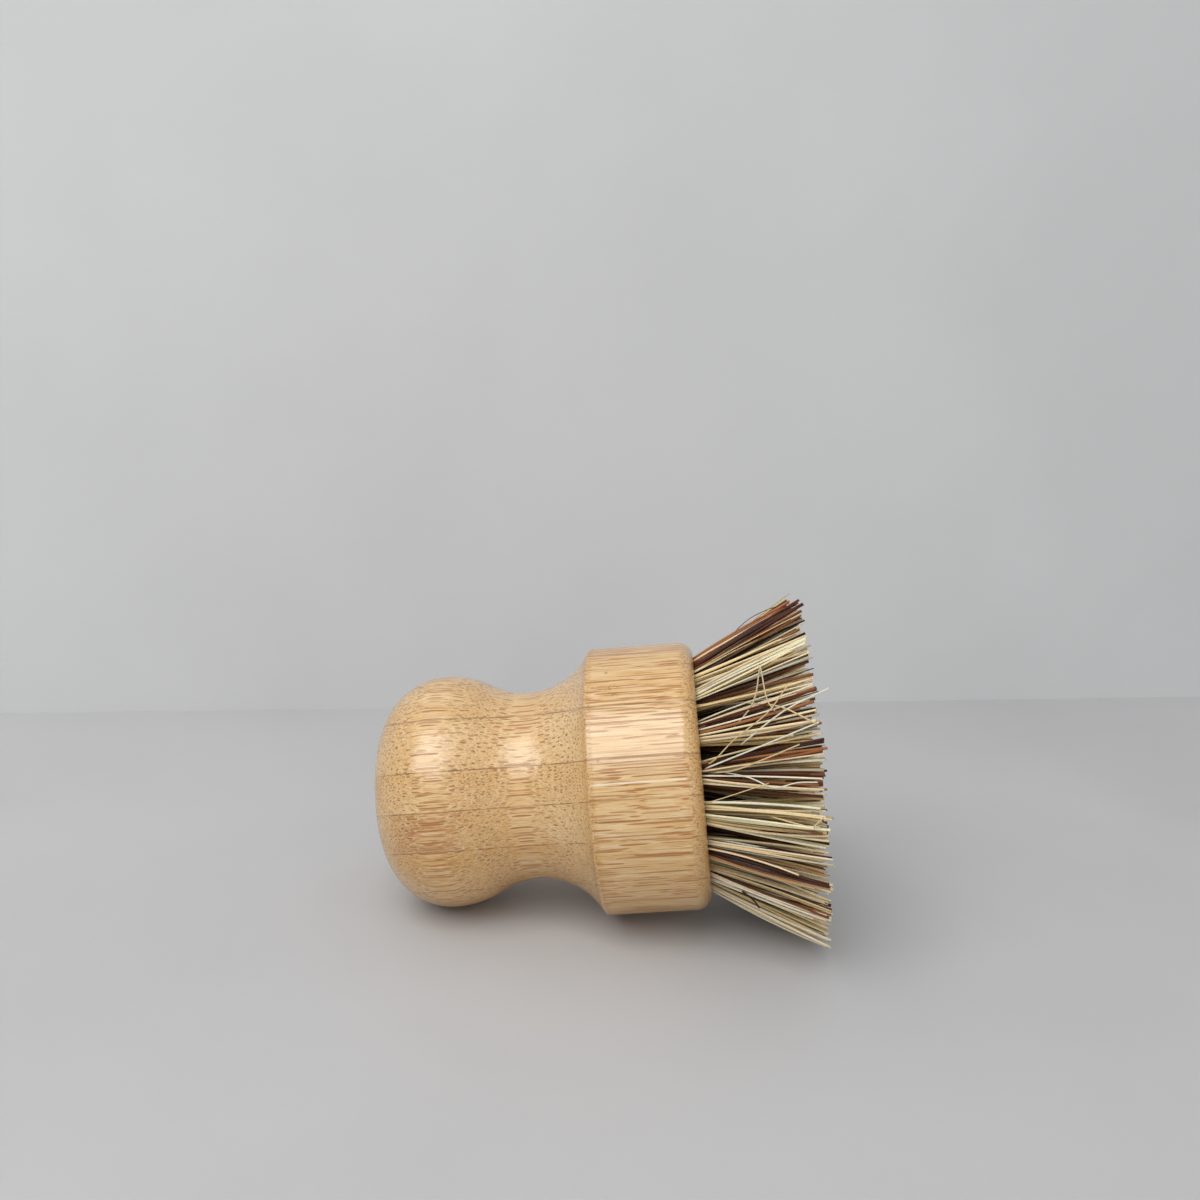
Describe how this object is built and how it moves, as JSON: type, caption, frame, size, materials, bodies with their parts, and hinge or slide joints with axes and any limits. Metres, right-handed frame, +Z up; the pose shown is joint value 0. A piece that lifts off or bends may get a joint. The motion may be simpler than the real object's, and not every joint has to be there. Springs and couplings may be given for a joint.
{
  "type": "dish brush",
  "caption": "Short round dish brush: a turned bamboo handle with a knob, waist and wide head, and leaning tufts of stiff mixed plant fibre, lying on its side.",
  "frame": {"origin": "middle of the object's bounding box, on the table it lies on; the brush rests on the side of its knob and on its lowest bristle tips", "axes": "+X runs from the knob to the bristles as seen from above, +Y away from the viewer of the reference view, +Z up. The brush's own axis rises 8 degrees from +X."},
  "size_m": [0.092, 0.0696, 0.0675],
  "materials": {
    "bamboo": "turned laminated bamboo, fine sanded, thin satin lacquer",
    "plant_fibre": "stiff raw plant fibre, straw-coloured mixed with red-brown",
    "anchor_wire": "flat galvanised wire, hidden in the holes"
  },
  "bodies": {
    "root": {"handle": "bamboo", "anchors_centre": "anchor_wire", "anchors_inner": "anchor_wire", "anchors_middle": "anchor_wire", "anchors_outer": "anchor_wire", "tuft_centre_01": "plant_fibre", "tuft_inner_01": "plant_fibre", "tuft_inner_02": "plant_fibre", "tuft_inner_03": "plant_fibre", "tuft_inner_04": "plant_fibre", "tuft_inner_05": "plant_fibre", "tuft_inner_06": "plant_fibre", "tuft_middle_01": "plant_fibre", "tuft_middle_02": "plant_fibre", "tuft_middle_03": "plant_fibre", "tuft_middle_04": "plant_fibre", "tuft_middle_05": "plant_fibre", "tuft_middle_06": "plant_fibre", "tuft_middle_07": "plant_fibre", "tuft_middle_08": "plant_fibre", "tuft_middle_09": "plant_fibre", "tuft_middle_10": "plant_fibre", "tuft_middle_11": "plant_fibre", "tuft_middle_12": "plant_fibre", "tuft_outer_01": "plant_fibre", "tuft_outer_02": "plant_fibre", "tuft_outer_03": "plant_fibre", "tuft_outer_04": "plant_fibre", "tuft_outer_05": "plant_fibre", "tuft_outer_06": "plant_fibre", "tuft_outer_07": "plant_fibre", "tuft_outer_08": "plant_fibre", "tuft_outer_09": "plant_fibre", "tuft_outer_10": "plant_fibre", "tuft_outer_11": "plant_fibre", "tuft_outer_12": "plant_fibre", "tuft_outer_13": "plant_fibre", "tuft_outer_14": "plant_fibre", "tuft_outer_15": "plant_fibre", "tuft_outer_16": "plant_fibre", "tuft_outer_17": "plant_fibre", "tuft_outer_18": "plant_fibre"}
  },
  "joints": []
}
